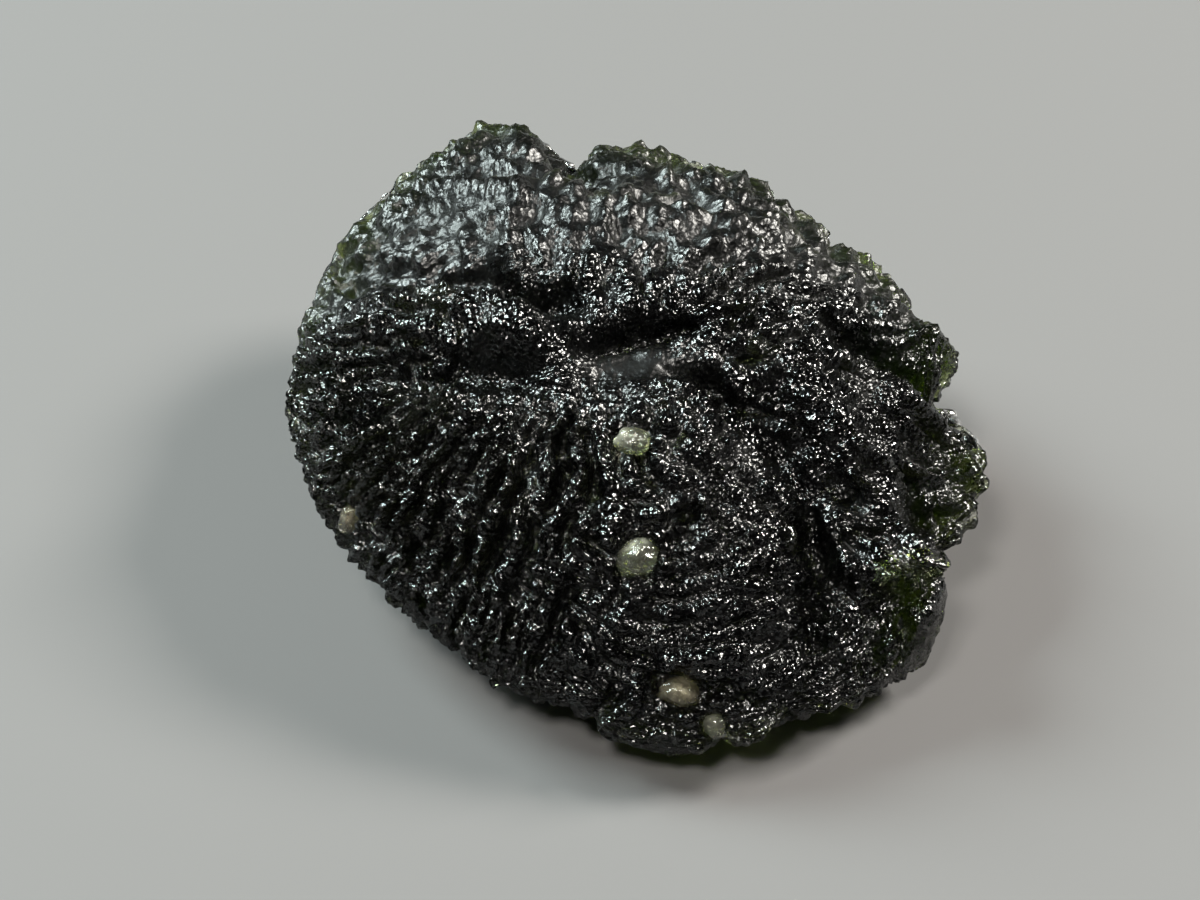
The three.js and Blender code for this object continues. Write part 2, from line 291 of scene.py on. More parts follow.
# %% [markdown]
# ## The smooth stone
#
# The upper side is a dome over the leaning rim plane, with the tracks added. The underside is a bowl from the
# rim's own height down to the table, so the stone stands on a spot under its middle although its rim leans.
# Nearly all round the edge is a thin lip; only the left front is full and round. One power per direction makes
# the difference: a power of 1 on the cosine of the slope gives a round ellipse, and a larger one a sharp,
# lens-shaped edge. The underside has powers of its own: it is fuller along the front, and fullest below the
# ledge on the right, where the glass looks dark. A furrow may take only a share of the glass below it, so none
# breaks through.

# %% Smooth stone
LEAN = np.radians(14)
RIM_HEIGHT = 6.4
TOP_RISE = 7.0
LIP_POWER_TOP, LIP_POWER_UNDER = 1.9, 1.55
ROUND_POWER_TOP, ROUND_SIDE = 1.0, (215, 45)
ROUND_POWER_UNDER, ROUND_UNDERSIDE = 1.15, (262, 65)
LOBE_POWER_UNDER, LOBE_UNDERSIDE = 0.4, (317, 15)
TRACK_FADE = 0.2
CUT_LIMIT = 0.75
FLAT_CUT = 0.35
PLAN_SHIFT = np.array([0.22, -0.61])


def step_up(x, low, high):
    """0 below low, 1 above high, and a smooth rise between."""
    x = np.clip((x - low) / (high - low), 0, 1)
    return x * x * (3 - 2 * x)


def blend(start, end, share):
    """start where the share is 0, end where it is 1, and a straight mix between."""
    return start + (end - start) * share


def smooth_stone(direction, slope):
    """Points of the smooth stone in millimetres: a dome of a power of the slope's cosine above the rim plane,
    and a bowl of another power of it below. The tracks take at most a share of the depth that lies under the
    rim plane."""
    u, v = plan_place(direction, slope)
    up = np.cos(slope)
    power_top = blend(LIP_POWER_TOP, ROUND_POWER_TOP, bell(direction, *ROUND_SIDE))
    power_under = blend(LIP_POWER_UNDER, ROUND_POWER_UNDER, bell(direction, *ROUND_UNDERSIDE))
    power_under = blend(power_under, LOBE_POWER_UNDER, bell(direction, *LOBE_UNDERSIDE))
    rim_z = RIM_HEIGHT + v * np.sin(LEAN)
    depth = rim_z * np.abs(up) ** power_under
    lift = step_up(up, 0, TRACK_FADE) * sum(dabs(u, v, *track) for track in TRACKS.values())
    w = np.maximum(TOP_RISE * np.abs(up) ** power_top + lift, -CUT_LIMIT * depth)
    y = np.where(up < 0, v * np.cos(LEAN), v * np.cos(LEAN) - w * np.sin(LEAN))
    z = np.where(up < 0, rim_z - depth, rim_z + w * np.cos(LEAN))
    return np.stack([u, y, z], -1)


def settle(points):
    """Sets the stone over the origin and wears its lowest part flat, at the height of the table."""
    shifted = points + np.array([*PLAN_SHIFT, -FLAT_CUT])
    shifted[..., 2] = np.maximum(shifted[..., 2], 0)
    return shifted


def outward(points, quads):
    """Unit normal at each point: the sum of the normals of the cells around it."""
    a, b, c, d = (points[quads[:, k]] for k in range(4))
    face = np.cross(c - a, d - b)
    total = np.stack([
        sum(np.bincount(quads[:, k], face[:, axis], len(points)) for k in range(4)) for axis in range(3)
    ], -1)
    return total / np.linalg.norm(total, axis=1, keepdims=True)


smooth = smooth_stone(direction, slope)
normal = outward(smooth, quads)
print("smooth stone:", np.ptp(smooth, axis=0).round(1), "mm")

# %% [markdown]
# ## Which way the etching runs
#
# The ridges start beside a short line across the dimple and run outwards, like hair from a parting.
# Hyperbolas do just that: all those that share the two ends of the line as foci leave the line at a right
# angle and then spread. The difference of a point's distances to the two ends says which hyperbola it is on,
# and the product of the two distances how far apart the hyperbolas are there. On the left front of this stone
# the ridges slant, so the places there are sheared sideways first.

# %% Flow of the ridges
PARTING = np.array([[-7.0, -1.4], [2.5, -0.9]])
SLANT = 0.45
SLANT_FADE = (-7, 8)
HALF_GIRTH = 36.0
WANDER = 0.2
WANDER_LENGTH = 3.0


def etch_flow(u, v):
    """Turn (which ridge, in radians), spread (millimetres per radian of turn) and distance from the parting.
    In front of the parting the ridges slant to the left, most at the left end of the fade and not at its
    right end."""
    (u0, v0), (u1, v1) = PARTING
    u = u + SLANT * np.maximum(v0 - v, 0) * (1 - step_up(u, *SLANT_FADE))
    line = np.hypot(u1 - u0, v1 - v0)
    near, far = np.hypot(u - u0, v - v0), np.hypot(u - u1, v - v1)
    side = np.where((u1 - u0) * (v - v0) - (v1 - v0) * (u - u0) < 0, -1, 1)
    turn = side * np.arccos(np.clip((near - far) / line, -1, 1))
    return turn, np.sqrt(near * far), (near + far - line) / 2


u, v = plan_place(direction, slope)
turn, spread, off_parting = etch_flow(u, v)
wander = WANDER * random_waves(SEEDS["wander"], smooth, WANDER_LENGTH)
turn = turn + wander / np.maximum(spread, WANDER_LENGTH)
along = HALF_GIRTH * slope / np.pi
print("spread of the flow:", spread.min().round(2), "to", spread.max().round(1), "mm per radian")

# %% [markdown]
# ## Ridges that fork
#
# On the stone the ridges keep about one distance from each other all the way out, so they fork as they
# spread. Waves around the flow are used for this: their number around the parting doubles each time the
# spread doubles, and neighbouring octaves fade into each other. The same waves, with a quick change along the
# flow as well, are the short dashes that cross the ridges. Etching leaves broad ridges with narrow grooves,
# so a share of the square is taken off each wave field. The broad flutes that the solids have too are plain
# cosines around the flow.

# %% Ridges
RIDGE_PITCH = 0.92
RIDGE_RUN = 6.0
RIM_SPREAD = 15.5
LEAST_SPREAD = 0.2
AROUND_RANGE = (0.6, 1.3)
CROSSING_RANGE = (0.75, 1.25)
FIELD_LIMIT = 2.2
GROOVE_SHARE = 0.22
FLUTES_AT_RIM = 40
FLUTE_SWAY = 0.09
SWAYS = 5
FLUTE_START = 1.5


def flow_waves(seed, waves_at_rim, run, crossed=False, octaves=range(-4, 2), count=30):
    """Random waves around the flow: whole numbers of waves per turn, so they close, with random phase and a
    random drift along the flow, which is slow, or near one length if the waves are crossed. Octaves are
    blended by the logarithm of the spread."""
    rng = np.random.default_rng(seed)
    band = np.log2(np.maximum(spread, LEAST_SPREAD) / RIM_SPREAD)
    total, weight_square = np.zeros(len(turn)), np.zeros(len(turn))
    for octave in octaves:
        around = np.rint(waves_at_rim * 2.0**octave * rng.uniform(*AROUND_RANGE, count))
        drift = rng.normal(0, 2 * np.pi / run, count)
        if crossed:
            drift = np.sign(drift) * rng.uniform(*CROSSING_RANGE, count) * 2 * np.pi / run
        phase = rng.uniform(0, 2 * np.pi, count)
        weight = np.clip(1 - np.abs(band - octave), 0, 1)
        field = np.zeros(len(turn))
        for m, k, start in zip(around, drift, phase):
            field += np.cos(m * turn + k * along + start)
        total += weight * field * np.sqrt(2 / count)
        weight_square += weight**2
    return total / np.sqrt(np.maximum(weight_square, 1e-6))


def narrow_grooves(field):
    """Broad ridges with narrower, deeper grooves between: a wave field less a share of its square."""
    field = np.clip(field, -FIELD_LIMIT, FIELD_LIMIT)
    return field - GROOVE_SHARE * (field**2 - 1)


def flutes(u, v):
    """Height from -1 to 1 of the broad flutes that the solids have too: cosines around the flow whose number
    doubles with each octave of the distance from the parting, with a slow sway so that they aren't
    straight."""
    turn, _, off = etch_flow(u, v)
    reach = off + np.hypot(*(PARTING[1] - PARTING[0])) / 2
    swayed = turn + FLUTE_SWAY * np.sin(SWAYS * turn + reach)
    band = np.log2(reach / RIM_SPREAD)
    inner = np.floor(band)
    near_wave, far_wave = (np.cos(FLUTES_AT_RIM * 2**octave * swayed) for octave in (inner, inner + 1))
    return step_up(off, 0, FLUTE_START) * blend(near_wave, far_wave, step_up(band - inner, 0, 1))


ridge_waves_at_rim = round(2 * np.pi * RIM_SPREAD / RIDGE_PITCH)
ridge_field = flow_waves(SEEDS["ridges"], ridge_waves_at_rim, RIDGE_RUN)
print("ridge waves around the rim:", ridge_waves_at_rim, "pitch", RIDGE_PITCH, "mm")

# %% [markdown]
# ## Zones of the etching
#
# The etching isn't the same all over. Low on the front the ridges give way to rows that run across. The back
# is covered with coarse beads, the right flank has deep grooves and the left front the strongest ridges. The
# floor of the dimple is calm. Each zone is a field from 0 to 1, which later scales the layers of the relief:
# bell curves of the direction, ovals on the rim plane, or brushed paths along the ledge's plate and the upper
# notch.

# %% Zones
ROWS_MIDDLE, ROWS_SIZE = (2.2, -12.6), (4.2, 2.4)
CALM_MIDDLE, CALM_SIZE = (-0.1, -1.7), (2.4, 1.0)
BACK_START = (1.5, 6)
UNDER_START = (0, 0.3)
FLANK_SIDE, FLANK_START, FLANK_LOSS_UNDER = (335, 32), (2, 5), 0.75
LEFT_SIDE, LEFT_START = (220, 55), (0.5, 2.5)
LEFT_LIP_SIDE = (150, 35)
RIDGE_START = (0, 1.2)
EDGE_WIDTH = 0.16
BRUSH_WIDTH = 0.9
NOTCH_PATH = [(9.7, 2.0), (11.2, 1.7), (12.4, 1.0)]
PLATE_PATH = [(9.4, -9.9), (10.8, -9.0), (11.8, -8.0)]
upper = slope < np.pi / 2


def oval(middle, size):
    """A zone of the upper side: a bell curve of the place on the rim plane around its middle."""
    return np.exp(-(((u - middle[0]) / size[0]) ** 2 + ((v - middle[1]) / size[1]) ** 2)) * upper


def brushed(path):
    """A zone of the upper side along a path, at most 1."""
    return np.minimum(dabs(u, v, 1.0, BRUSH_WIDTH, path), 1) * upper


rows_zone, calm_zone = oval(ROWS_MIDDLE, ROWS_SIZE), oval(CALM_MIDDLE, CALM_SIZE)
notch_zone, plate_zone = brushed(NOTCH_PATH), brushed(PLATE_PATH)
back_zone = step_up(v, *BACK_START) * upper
under = step_up(-np.cos(slope), *UNDER_START)
round_side = bell(direction, *ROUND_SIDE)
flank_zone = bell(direction, *FLANK_SIDE) * step_up(off_parting, *FLANK_START)
flank_zone *= 1 - FLANK_LOSS_UNDER * under
left_zone = bell(direction, *LEFT_SIDE) * step_up(off_parting, *LEFT_START) * (1 - under)
edge_zone = np.exp(-((np.cos(slope) / EDGE_WIDTH) ** 2))
lip_zone = edge_zone * (1 - round_side)
left_lip = lip_zone * bell(direction, *LEFT_LIP_SIDE)
begin = step_up(off_parting, *RIDGE_START)
zones = {"rows": rows_zone, "calm": calm_zone, "back": back_zone, "flank": flank_zone, "left": left_zone,
         "lip": lip_zone, "notch": notch_zone, "plate": plate_zone}
print("mean of each zone:", {name: float(zone.mean().round(3)) for name, zone in zones.items()})

# %% [markdown]
# ## Fields of the relief
#
# Each layer of the relief has a field of its own. Rows and teeth are waves around the flow, like the ridges,
# but with other counts. Clumps and beads are plain random waves of two sizes, and a slow swell keeps the
# large form from looking turned on a lathe. The teeth come in patches, so the lip isn't a saw. The cups are
# laid out on the ridged surface, not on the smooth one.

# %% Fields
ROWS_SHARE = 0.25
FLANK_PITCH, FLANK_RUN = 1.4, 7.0
CROSS_SHARE, CROSS_PITCH = 0.45, 0.75
CLUMP_PITCH, BEAD_PITCH, SWELL_PITCH = 1.3, 0.48, 4.5
TEETH_AT_RIM, TOOTH_RUN = 76, 8.0
PATCH_PITCH, PATCH_MEAN, PATCH_SWING, PATCH_LIMITS = 3.5, 0.7, 0.6, (0.1, 1.3)
CUP_SIZE, CUP_DRAG = 0.42, 0.2

row_field = flow_waves(SEEDS["rows"], ridge_waves_at_rim * ROWS_SHARE, RIDGE_PITCH)
flank_field = flow_waves(SEEDS["flank"], round(np.pi * RIM_SPREAD / FLANK_PITCH), FLANK_RUN)
cross_field = flow_waves(SEEDS["cross"], ridge_waves_at_rim * CROSS_SHARE, CROSS_PITCH, crossed=True)
clump_field = random_waves(SEEDS["clumps"], smooth, CLUMP_PITCH)
bead_field = random_waves(SEEDS["beads"], smooth, BEAD_PITCH)
swell = random_waves(SEEDS["swell"], smooth, SWELL_PITCH)
tooth_patch = PATCH_MEAN + PATCH_SWING * random_waves(SEEDS["tooth patches"], smooth, PATCH_PITCH)
tooth_field = flow_waves(SEEDS["teeth"], TEETH_AT_RIM, TOOTH_RUN) * np.clip(tooth_patch, *PATCH_LIMITS)
cups = etch_cups(SEEDS["cups"], smooth + normal * CUP_DRAG * ridge_field[:, None], CUP_SIZE)
print("cups, mean:", cups.mean().round(2), "teeth, mean square:", np.mean(tooth_field**2).round(2))

# %% [markdown]
# ## Layers of the relief
#
# The layers are added up, each with its height in millimetres and scaled by the zones: ridges and dashes
# start at the parting and end where the beads of the back begin, and the flank's grooves take the place of
# its ridges. Along the thin edge all layers shrink, because a high relief would cut through the lip, and the
# teeth take over.

# %% Relief
RIDGE_HEIGHT, RIDGE_GAIN_LEFT, RIDGE_GAIN_ROWS, RIDGE_LOSS_FLANK = 0.17, 0.7, 0.3, 0.7
FLANK_HEIGHT, FLANK_MIDDLE = 0.45, 0.8
CLUMP_HEIGHT, CLUMP_SHARE, CLUMP_GAIN_BACK = 0.17, 0.4, 0.5
CLUMP_LOSS_EDGE, CLUMP_LOSS_LEFT, CLUMP_LOSS_FLANK = 0.8, 0.6, 0.7
CROSS_HEIGHT, CROSS_LOSS_FLANK = 0.1, 0.5
BEAD_HEIGHT, BEAD_LOSS_FLANK, BEAD_GAIN_BACK = 0.045, 0.4, 0.6
CUP_DEPTH, CUP_MIDDLE = 0.06, 0.3
FLUTE_HEIGHT, SWELL_HEIGHT = 0.12, 0.12
CALM_LOSS, EDGE_LOSS, LEFT_LIP_LOSS, ROUND_LOSS, PLATE_LOSS, NOTCH_LOSS = 0.8, 0.55, 0.2, 0.5, 0.2, 0.6
TOOTH_HEIGHT, TOOTH_LIMIT, TOOTH_LOSS_LEFT = 0.17, 1.2, 0.8

calm = 1 - CALM_LOSS * calm_zone
ridged = (1 - rows_zone) * (1 - back_zone) * (1 - RIDGE_LOSS_FLANK * flank_zone) * ridge_field
ridged += rows_zone * row_field
ridge_scale = (1 + RIDGE_GAIN_LEFT * left_zone + RIDGE_GAIN_ROWS * rows_zone) * begin * calm
clump_scale = CLUMP_SHARE + CLUMP_GAIN_BACK * back_zone * (1 - CLUMP_LOSS_EDGE * edge_zone)
clump_scale = clump_scale * (1 - CLUMP_LOSS_LEFT * left_zone) * (1 - CLUMP_LOSS_FLANK * flank_zone) * calm
cross_scale = begin * calm * (1 - back_zone) * (1 - CROSS_LOSS_FLANK * flank_zone)
bead_scale = (1 - BEAD_LOSS_FLANK * flank_zone + BEAD_GAIN_BACK * back_zone) * calm
relief = (
    RIDGE_HEIGHT * ridge_scale * narrow_grooves(ridged)
    + FLANK_HEIGHT * flank_zone * (FLANK_MIDDLE - np.abs(flank_field))
    + CLUMP_HEIGHT * clump_scale * clump_field
    + CROSS_HEIGHT * cross_scale * narrow_grooves(cross_field)
    + BEAD_HEIGHT * bead_scale * narrow_grooves(bead_field)
    + CUP_DEPTH * calm * (cups - CUP_MIDDLE) / CUP_MIDDLE
    + FLUTE_HEIGHT * flutes(u, v)
    + SWELL_HEIGHT * swell
)
relief *= (1 - EDGE_LOSS * edge_zone - LEFT_LIP_LOSS * left_lip) * (1 - ROUND_LOSS * under * round_side)
relief *= (1 - PLATE_LOSS * plate_zone) * (1 - NOTCH_LOSS * notch_zone)
teeth = np.clip(tooth_field, -TOOTH_LIMIT, TOOTH_LIMIT)
relief += TOOTH_HEIGHT * (lip_zone - TOOTH_LOSS_LEFT * left_lip) * teeth
print("relief:", relief.min().round(2), "to", relief.max().round(2), "mm")

# %% [markdown]
# ## Crests that lean over
#
# Etching also undercuts. The ledge on the right is a thin plate over a recess, the shoulder leans over the
# furrow in front of it, and the brow over the slit of the dimple. A relief along the normal can't do this, so
# these crests are pushed sideways as well, and the roof of the recess is pushed in and up under its plate.
# Below it the lower lobe is lifted. A push has a length and a width, its path, and its direction along the
# rim plane's axes.

# %% Leaning crests
LEANS = {
    "ledge": (1.3, 0.55, [(9.2, -9.4), (10.6, -8.6), (11.6, -7.6)], (0.55, -0.8, -0.2)),
    "recess": (2.0, 0.55, [(9.6, -10.0), (10.7, -9.4), (11.5, -8.6)], (-0.5, 0.7, 0.5)),
    "lower lobe": (0.9, 0.7, [(10.7, -10.6), (11.6, -9.6), (12.0, -8.8)], (0.0, 0.0, 1.0)),
    "shoulder": (0.3, 0.9, [(-9.2, 0.2), (-6.4, -0.4), (-4.2, -1.3)], (0.15, -1.0, 0.0)),
    "brow": (0.18, 0.6, [(-2.4, -0.3), (-0.2, 0.5), (2.0, 1.1)], (0.1, -1.0, 0.0)),
}
leaning = np.zeros_like(smooth)
rim_axes = np.array([[1, 0, 0], [0, np.cos(LEAN), np.sin(LEAN)], [0, -np.sin(LEAN), np.cos(LEAN)]])
for push, width, points, side in LEANS.values():
    amount = dabs(u, v, push, width, points) * upper
    leaning += amount[:, None] * (np.array(side) @ rim_axes)
print("largest lean:", np.linalg.norm(leaning, axis=1).max().round(2), "mm")

# %% [markdown]
# ## Places of the sand grains and the open bubble
#
# Each grain sits on the smooth surface at a known direction and slope, turned with it. A bowl is sunk under
# each, so that the grain is lodged and not laid on. The open bubble is a round pit of its own, left by gas in
# the melt.

# %% Pits
GRAINS = {
    "crest": (266, 23, (1.7, 1.1, 1.0)),
    "front": (269, 41.5, (1.6, 1.8, 1.3)),
    "low": (276, 66, (1.7, 1.3, 1.1)),
    "lip": (280.5, 77, (0.9, 1.2, 0.9)),
    "left": (206, 79, (0.9, 1.5, 0.9)),
}
GRAIN_LIFT = -0.2
PIT_WIDTH, PIT_DEPTH, PIT_LOSS = 0.62, 0.4, 0.5
BUBBLE_PLACE, BUBBLE_RADIUS, BUBBLE_DEPTH = (282, 34.5), 0.5, 1.0
FRAME_STEP = 0.5


def surface_frame(direction, slope):
    """Place on the smooth stone with three unit axes: along the surface, up the surface and out of it. The
    axes come from the places a small step of direction and of slope away, in degrees."""
    asked = np.array([
        (direction, slope), (direction, slope + FRAME_STEP), (direction, slope - FRAME_STEP),
        (direction + FRAME_STEP, slope), (direction - FRAME_STEP, slope),
    ], float)
    here, down, up, left, right = smooth_stone(asked[:, 0], np.radians(asked[:, 1]))
    along = (left - right) / np.linalg.norm(left - right)
    out = np.cross(down - up, along)
    out /= np.linalg.norm(out)
    return here, np.stack([along, np.cross(out, along), out])


for d, s, size in GRAINS.values():
    middle, axes = surface_frame(d, s)
    local = (smooth - middle) @ axes.T / (np.array(size) * PIT_WIDTH)
    cover = np.exp(-np.sum(local**2, axis=1) ** 2)
    relief = relief * (1 - PIT_LOSS * cover) - PIT_DEPTH * cover
bubble_middle, _ = surface_frame(*BUBBLE_PLACE)
bubble_off = np.linalg.norm(smooth - bubble_middle, axis=1) / BUBBLE_RADIUS
relief -= BUBBLE_DEPTH * np.sqrt(np.clip(1 - bubble_off**2, 0, None))
print("pits for", len(GRAINS), "grains and one bubble; relief now from", relief.min().round(2), "mm")

# %% [markdown]
# ## The stone's mesh
#
# The relief moves each point of the smooth stone along its normal, and the leans move the crests sideways.
# The arrays go into the mesh whole. Two values stay with each point for the finish: how deep it lies in a
# furrow, and how frosted it is, most on the dimple's floor and less on the back.

# %% Stone mesh
FURROW_MIDDLE, FURROW_SPAN = 0.5, 4 * RIDGE_HEIGHT
FROST_CALM, FROST_BACK = 0.85, 0.6


def make_mesh(name, points, faces, values=()):
    """A smooth-shaded mesh object from whole arrays, in metres, with named values for each point."""
    mesh = bpy.data.meshes.new(name)
    mesh.vertices.add(len(points))
    mesh.vertices.foreach_set("co", (points * MM).astype(np.float32).ravel())
    corners = faces.shape[1]
    mesh.loops.add(faces.size)
    mesh.loops.foreach_set("vertex_index", faces.astype(np.int32).ravel())
    mesh.polygons.add(len(faces))
    mesh.polygons.foreach_set("loop_start", np.arange(0, faces.size, corners, dtype=np.int32))
    mesh.update(calc_edges=True)
    mesh.shade_smooth()
    for key, value in values:
        mesh.attributes.new(key, "FLOAT", "POINT").data.foreach_set("value", value.astype(np.float32))
    if mesh.validate():
        raise ValueError(name + " has faces that don't fit together")
    piece = bpy.data.objects.new(name, mesh)
    bpy.context.scene.collection.objects.link(piece)
    return piece


stone_points = settle(smooth + normal * relief[:, None] + leaning)
furrow = np.clip(FURROW_MIDDLE - relief / FURROW_SPAN, 0, 1)
frost = FROST_CALM * calm_zone + FROST_BACK * back_zone
stone = make_mesh("etched_moldavite", stone_points, quads, [("furrow", furrow), ("frost", frost)])
print("stone:", len(stone.data.polygons) * 2, "triangles,", np.ptp(stone_points, axis=0).round(1), "mm")

# %% [markdown]
# ## Natural glass
#
# Moldavite looks black where it is thick and olive green where it is thin, and that is one glass, not two
# colours. So the surface is clear, and the volume takes light away, blue most and green least: a millimetre
# of it still glows, a centimetre does not. The glints come from scallops too small for the mesh, so they are
# a bump. Grit and frosting break the gloss, the frosting more in the furrows.

# %% Glass finish
GLASS_INDEX = 1.49
GLASS_TINT = (0.58, 0.65, 0.24, 1.0)
GLASS_DENSITY = 2600.0
SCALLOP_SCALE, SCALLOP_HEIGHT = 4400.0, 0.088 * MM
GRIT = {"Scale": 8000.0, "Detail": 1.0, "Roughness": 0.6}
GRIT_HEIGHT = 0.012 * MM
ROUGHNESS = {"From Min": 0.2, "From Max": 1.0, "To Min": 0.14, "To Max": 0.28}
FROST_ROUGHNESS = 0.3


def new_finish(name):
    """A node material with its shader, a function that adds a node with its inputs set, and one that
    links."""
    finish = bpy.data.materials.new(name)
    finish.use_nodes = True
    tree = finish.node_tree

    def add(kind, inputs, **settings):
        node = tree.nodes.new(kind)
        for key, value in settings.items():
            setattr(node, key, value)
        for key, value in inputs.items():
            if isinstance(value, bpy.types.NodeSocket):
                tree.links.new(value, node.inputs[key])
            else:
                node.inputs[key].default_value = value
        return node

    return finish, tree.nodes["Principled BSDF"], add, tree.links.new


def natural_glass():
    """Clear glass with scallops and grit as bumps, rough in the furrows and where it is frosted, that absorbs
    light in its volume."""
    finish, shader, add, link = new_finish("etched_glass")
    place = add("ShaderNodeTexCoord", {}).outputs["Object"]
    furrow = add("ShaderNodeAttribute", {}, attribute_name="furrow").outputs["Fac"]
    frost = add("ShaderNodeAttribute", {}, attribute_name="frost").outputs["Fac"]
    scallop = add("ShaderNodeTexVoronoi", {"Vector": place, "Scale": SCALLOP_SCALE}, feature="F1")
    lively = add("ShaderNodeMath", {0: 1.0, 1: frost}, operation="SUBTRACT")
    bump = add("ShaderNodeBump", {"Height": scallop.outputs["Distance"], "Strength": lively.outputs["Value"],
                                  "Distance": SCALLOP_HEIGHT})
    grit = add("ShaderNodeTexNoise", {"Vector": place, **GRIT})
    bump = add("ShaderNodeBump", {"Height": grit.outputs["Fac"], "Normal": bump.outputs["Normal"],
                                  "Strength": 1.0, "Distance": GRIT_HEIGHT})
    rough = add("ShaderNodeMapRange", {"Value": furrow, **ROUGHNESS}).outputs["Result"]
    rough = add("ShaderNodeMath", {0: frost, 1: FROST_ROUGHNESS, 2: rough}, operation="MULTIPLY_ADD")
    absorb = add("ShaderNodeVolumeAbsorption", {"Color": GLASS_TINT, "Density": GLASS_DENSITY})
    link(bump.outputs["Normal"], shader.inputs["Normal"])
    link(rough.outputs["Value"], shader.inputs["Roughness"])
    link(absorb.outputs["Volume"], finish.node_tree.nodes["Material Output"].inputs["Volume"])
    shader.inputs["Base Color"].default_value = (1, 1, 1, 1)
    shader.inputs["IOR"].default_value = GLASS_INDEX
    shader.inputs["Transmission Weight"].default_value = 1.0
    return finish


stone.data.materials.append(natural_glass())
absorbed = (1 - np.array(GLASS_TINT[:3])) * GLASS_DENSITY * MM
print("a millimetre of glass lets through", np.exp(-absorbed).round(2), "of red, green and blue")

# %% [markdown]
# ## Sand grains
#
# A grain of quartz sand is a broken crystal that wind and water have rounded. It starts as a ball that a few
# random planes have cut; soft corners come from adding up the planes' reciprocals with a high power, and a
# little relief makes it worn. Quartz is often milky in one place and clear in another, so each grain has a
# milky core near its surface, kept as a value for each point.

# %% Grain meshes
GRAIN_HALF_GRID = 14
GRAIN_PLANES = 11
CUT_DEPTH = (0.72, 1.0)
CORNER_POWER = 24
BALL_RADIUS = 1 / 0.95
WEAR = 0.03
WEAR_LENGTH = 0.6
MILKY_CORES = {
    "crest": (0.8, 0.5, (-0.5, 0.1, 0.5)),
    "front": (0.3, 0.55, (-0.3, 0.5, 0.5)),
    "low": (0.32, 0.6, (-0.1, 0.2, 0.6)),
    "lip": (0.2, 0.5, (-0.2, 0.3, 0.5)),
    "left": (0.3, 0.5, (0.1, 0.4, 0.5)),
}

grain_direction, grain_slope, grain_quads = wrapped_grid(GRAIN_HALF_GRID)
across, round_about = np.sin(grain_slope), np.radians(grain_direction)
ball = np.stack([across * np.cos(round_about), across * np.sin(round_about), np.cos(grain_slope)], -1)


def grain_shape(seed):
    """Points of a worn grain about as large as the unit ball. The radius in each direction is a soft minimum
    over random cutting planes and the ball, with a little relief."""
    rng = np.random.default_rng(seed)
    planes = rng.normal(size=(GRAIN_PLANES, 3))
    planes /= np.linalg.norm(planes, axis=1, keepdims=True)
    cut = np.clip(ball @ planes.T, 0, None) / rng.uniform(*CUT_DEPTH, GRAIN_PLANES)
    radius = (np.sum(cut**CORNER_POWER, axis=1) + BALL_RADIUS**-CORNER_POWER) ** (-1 / CORNER_POWER)
    radius *= 1 + WEAR * random_waves(seed + 1, ball, WEAR_LENGTH)
    return ball * radius[:, None]


grains = {}
for order, (name, (d, s, size)) in enumerate(GRAINS.items()):
    middle, axes = surface_frame(d, s)
    shape = grain_shape(SEEDS["grains"] + 2 * order)
    points = settle(middle + axes[2] * GRAIN_LIFT + (shape * np.array(size) / 2) @ axes)
    strength, reach, core = MILKY_CORES[name]
    milk = strength * np.exp(-np.sum((shape - core) ** 2, axis=1) / reach**2)
    grains[name] = make_mesh("quartz_grain_" + name, points, grain_quads, [("milk", milk)])
print("cells of the grains:", {name: len(grain.data.polygons) for name, grain in grains.items()})

# %% [markdown]
# ## Quartz
#
# The grains are clear with a trace of haze, and scatter light back where they are milky. The shader's
# transmission says how much light goes through: one less the milk, which a cloud breaks up into patches.
# Chips too small for the mesh are a bump. Two finishes do: pale, and tan with a trace of iron.

# %% Quartz finish
QUARTZ_INDEX = 1.54
QUARTZ_HAZE = 0.02
QUARTZ_ROUGHNESS = 0.07
PALE, TAN = (0.92, 0.92, 0.74), (0.9, 0.79, 0.57)
TAN_GRAINS = ("low", "left")
CLOUD = {"Scale": 2600.0, "Detail": 3.0}
CLOUD_PATCHES = {"From Min": 0.4, "From Max": 0.6, "To Min": 0.3}
CHIPS = {"Scale": 3000.0, "Detail": 3.0}
CHIP_HEIGHT = 0.09 * MM


def quartz(name, colour):
    """Clear quartz whose share of milk, a haze plus the grain's core broken up by a cloud, scatters light
    back."""
    finish, shader, add, link = new_finish(name)
    place = add("ShaderNodeTexCoord", {}).outputs["Object"]
    core = add("ShaderNodeAttribute", {}, attribute_name="milk").outputs["Fac"]
    cloud = add("ShaderNodeTexNoise", {"Vector": place, **CLOUD}).outputs["Fac"]
    patch = add("ShaderNodeMapRange", {"Value": cloud, **CLOUD_PATCHES}).outputs["Result"]
    milk = add("ShaderNodeMath", {0: core, 1: patch, 2: QUARTZ_HAZE}, operation="MULTIPLY_ADD")
    clear = add("ShaderNodeMath", {0: 1.0, 1: milk.outputs["Value"]}, operation="SUBTRACT")
    chip = add("ShaderNodeTexNoise", {"Vector": place, **CHIPS}).outputs["Fac"]
    bump = add("ShaderNodeBump", {"Height": chip, "Strength": 1.0, "Distance": CHIP_HEIGHT})
    link(clear.outputs["Value"], shader.inputs["Transmission Weight"])
    link(bump.outputs["Normal"], shader.inputs["Normal"])
    shader.inputs["Base Color"].default_value = (*colour, 1)
    shader.inputs["Roughness"].default_value = QUARTZ_ROUGHNESS
    shader.inputs["IOR"].default_value = QUARTZ_INDEX
    return finish


pale, tan = quartz("pale_quartz", PALE), quartz("tan_quartz", TAN)
for name, grain in grains.items():
    grain.data.materials.append(tan if name in TAN_GRAINS else pale)
print("finishes of the grains:", {name: grain.data.materials[0].name for name, grain in grains.items()})

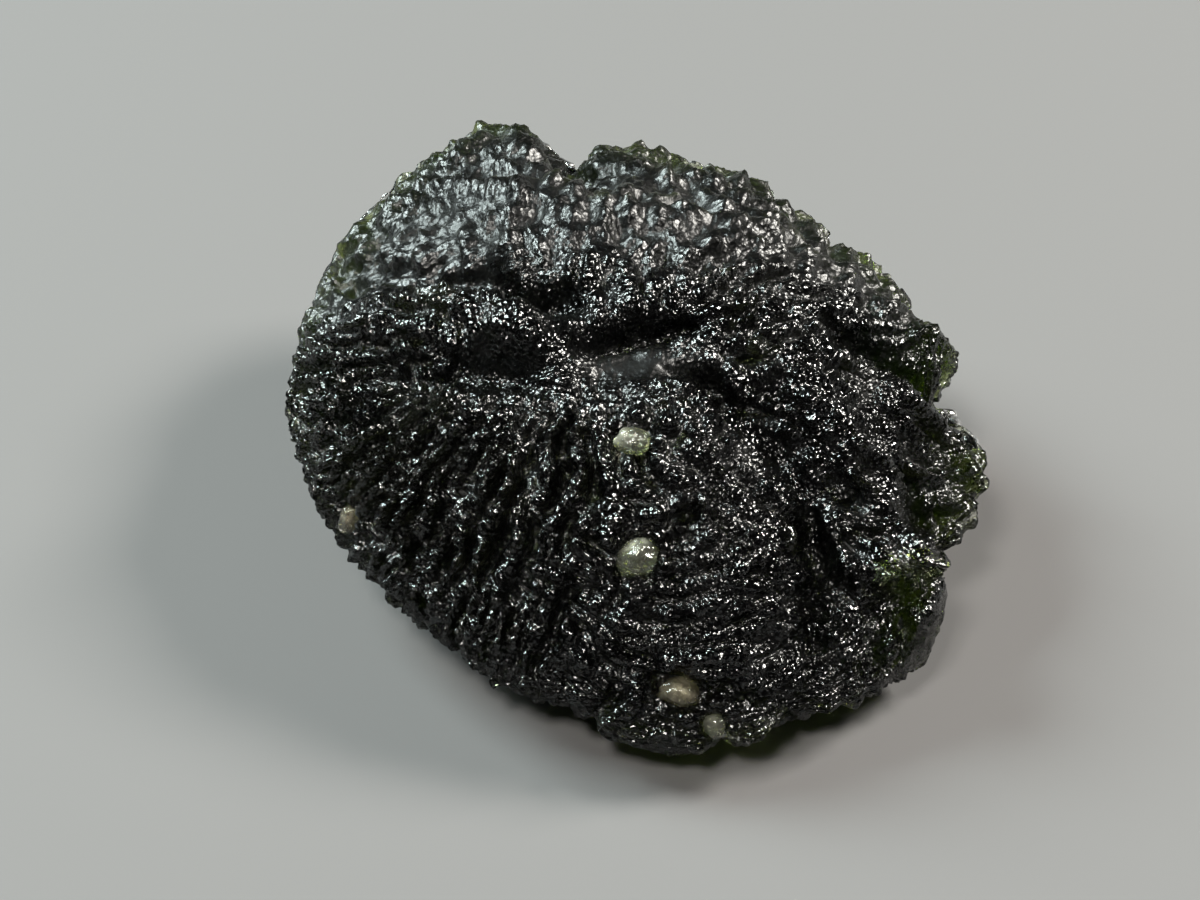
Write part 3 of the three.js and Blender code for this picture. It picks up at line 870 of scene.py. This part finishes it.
# %% [markdown]
# ## Floor and light
#
# The floor is plain and pale. A large, cool light stands behind the stone on the left, as in the picture: the
# upper side catches it in hundreds of small glints, and the front stays dark. A smaller, warm light from the
# right makes the thin right edge glow green, and one over the front picks out the ridges there. A weak, even
# sky fills the shadow. The plain view transform keeps the blacks of the glass black.

# %% Floor and lights
FLOOR_SIZE = 3.0
FLOOR_COLOUR, FLOOR_ROUGHNESS = (0.125, 0.122, 0.123, 1), 0.8
STONE_MIDDLE = Vector((0, 0, 0.006))
COOL, WARM, WHITE = (0.86, 1.0, 0.98), (1.0, 0.97, 0.9), (1, 1, 1, 1)
LIGHTS = {
    "key": ((-0.30, 0.16, 0.31), 0.22, 4.4, COOL),
    "right": ((0.30, 0.10, 0.28), 0.12, 3.4, WARM),
    "front": ((-0.10, -0.22, 0.40), 0.09, 1.7, WARM),
}
SKY_STRENGTH = 0.03

floor_mesh = bpy.data.meshes.new("floor")
edge = FLOOR_SIZE / 2
floor_corners = [(-edge, -edge, 0), (edge, -edge, 0), (edge, edge, 0), (-edge, edge, 0)]
floor_mesh.from_pydata(floor_corners, [], [(0, 1, 2, 3)])
floor = bpy.data.objects.new("floor", floor_mesh)
bpy.context.scene.collection.objects.link(floor)
floor_finish, floor_shader, _, _ = new_finish("floor")
floor_shader.inputs["Base Color"].default_value = FLOOR_COLOUR
floor_shader.inputs["Roughness"].default_value = FLOOR_ROUGHNESS
floor_mesh.materials.append(floor_finish)

for name, (place, size, power, colour) in LIGHTS.items():
    lamp = bpy.data.lights.new(name, "AREA")
    lamp.size, lamp.energy, lamp.color = size, power, colour
    light = bpy.data.objects.new(name, lamp)
    light.location = place
    light.rotation_euler = (STONE_MIDDLE - Vector(place)).to_track_quat("-Z", "Y").to_euler()
    bpy.context.scene.collection.objects.link(light)
sky = bpy.data.worlds.new("sky")
sky.use_nodes = True
sky.node_tree.nodes["Background"].inputs["Color"].default_value = WHITE
sky.node_tree.nodes["Background"].inputs["Strength"].default_value = SKY_STRENGTH
bpy.context.scene.world = sky
bpy.context.scene.view_settings.view_transform = "Standard"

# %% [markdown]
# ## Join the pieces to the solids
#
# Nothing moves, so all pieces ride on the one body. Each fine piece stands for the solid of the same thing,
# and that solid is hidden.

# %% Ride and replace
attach(stone, "root")
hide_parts("moldavite")
for name, grain in grains.items():
    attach(grain, "root")
    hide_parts("sand_grain_" + name)
print("pieces that ride on the root:", 1 + len(grains))
